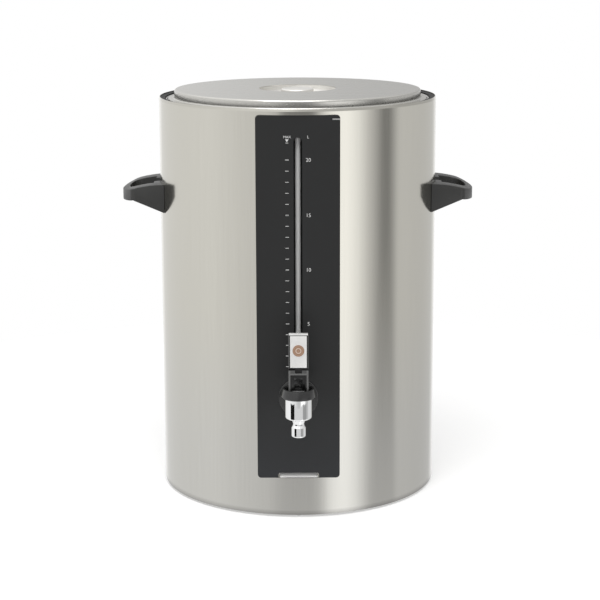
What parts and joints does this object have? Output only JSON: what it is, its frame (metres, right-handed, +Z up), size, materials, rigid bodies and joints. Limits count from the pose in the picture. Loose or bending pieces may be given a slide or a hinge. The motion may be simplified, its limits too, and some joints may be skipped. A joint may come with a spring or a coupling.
{
  "type": "hot water urn",
  "caption": "Insulated steel hot water urn with a lift-off lid, side handles, a front sight glass with a litre scale and a self-closing lever tap.",
  "frame": {"origin": "centre of the case on the surface that its four feet stand on", "axes": "+Z up, the front with tap and sight glass faces -Y, +X to the right of someone facing the front"},
  "size_m": [0.452, 0.4263, 0.5152],
  "materials": {
    "case_steel": "fine vertical brushing, satin",
    "ring_plastic": "fine grained",
    "vessel_steel": "satin",
    "wool": "mineral wool",
    "base_steel": "zinc-plated",
    "screw_steel": "plain",
    "foot_rubber": "matt",
    "black_plastic": "fine grained",
    "panel_plastic": "satin, lightly grained",
    "catch_steel": "polished",
    "tube_glass": "clear",
    "gauge_plastic": "matt",
    "seal_silicone": "soft",
    "block_brass": "machined",
    "lever_plastic": "satin",
    "tap_chrome": "polished",
    "plate_steel": "polished, lightly brushed",
    "badge_copper": "copper-coloured, satin",
    "lid_steel": "satin",
    "heater_alu": "cast",
    "clamp_steel": "zinc-plated",
    "ceramic": "heat-proof moulding",
    "wire_red": "sleeved leads"
  },
  "bodies": {
    "urn": {"outer_shell": "case_steel", "rim_ring": "ring_plastic", "inner_vessel": "vessel_steel", "vessel_insulation": "wool", "floor_insulation": "wool", "base_plate": "base_steel", "base_screws": "screw_steel", "base_nuts": "screw_steel", "feet": "foot_rubber", "foot_screws": "screw_steel", "handle_left": "black_plastic", "handle_right": "black_plastic", "handle_backing_plates": "base_steel", "handle_screws": "screw_steel", "front_panel": "panel_plastic", "panel_catch": "catch_steel", "gauge_tube": "tube_glass", "gauge_channel": "gauge_plastic", "gauge_top_holder": "gauge_plastic", "gauge_seal": "seal_silicone", "gauge_block": "block_brass", "shank_seal": "seal_silicone", "tap_flange": "lever_plastic", "tap_body": "tap_chrome", "tap_nozzle": "tap_chrome", "tap_bonnet": "lever_plastic", "lever_pin": "screw_steel", "tap_spring": "screw_steel", "heater_plate": "heater_alu", "heater_clamp": "clamp_steel", "heater_nuts": "screw_steel", "thermostat": "ceramic", "thermal_cutout": "ceramic", "terminal_block": "ceramic", "internal_wiring": "wire_red", "power_inlet": "lever_plastic", "inlet_screws": "screw_steel", "switch_housing": "lever_plastic"},
    "lid": {"lid_top": "lid_steel", "lid_grip_dish": "lid_steel", "lid_knob": "plate_steel", "knob_screw": "screw_steel", "lid_underpan": "lid_steel", "lid_insulation": "wool", "lid_gasket": "foot_rubber"},
    "tap_handle": {"tap_lever": "lever_plastic", "lever_plate": "plate_steel", "lever_badge": "badge_copper"},
    "tap_valve": {"valve_stem": "screw_steel", "seat_cup": "seal_silicone"},
    "rocker": {"switch_rocker": "gauge_plastic"}
  },
  "joints": [
    {"name": "lid_lift", "type": "slide", "parent": "urn", "child": "lid", "axis": [0, 0, 1], "range_m": [0, 0.15]},
    {"name": "lever_tilt", "type": "hinge", "parent": "urn", "child": "tap_handle", "pos_m": [0, -0.23406, 0.176], "axis": [1, 0, 0], "range_deg": [0, 25], "stiffness_Nm_per_rad": 0.12, "springref_deg": -17.19},
    {"name": "stem_lift", "type": "slide", "parent": "urn", "child": "tap_valve", "axis": [0, 0, 1], "range_m": [0, 0.00254], "deforming": ["tap_spring"]},
    {"name": "switch_tip", "type": "hinge", "parent": "urn", "child": "rocker", "pos_m": [0.034, 0.16605, 0.048], "axis": [1, 0, 0], "range_deg": [-20, 0]}
  ],
  "couplings": [
    {"joint": "stem_lift", "follows": "lever_tilt", "m_per_rad": 0.0058}
  ]
}
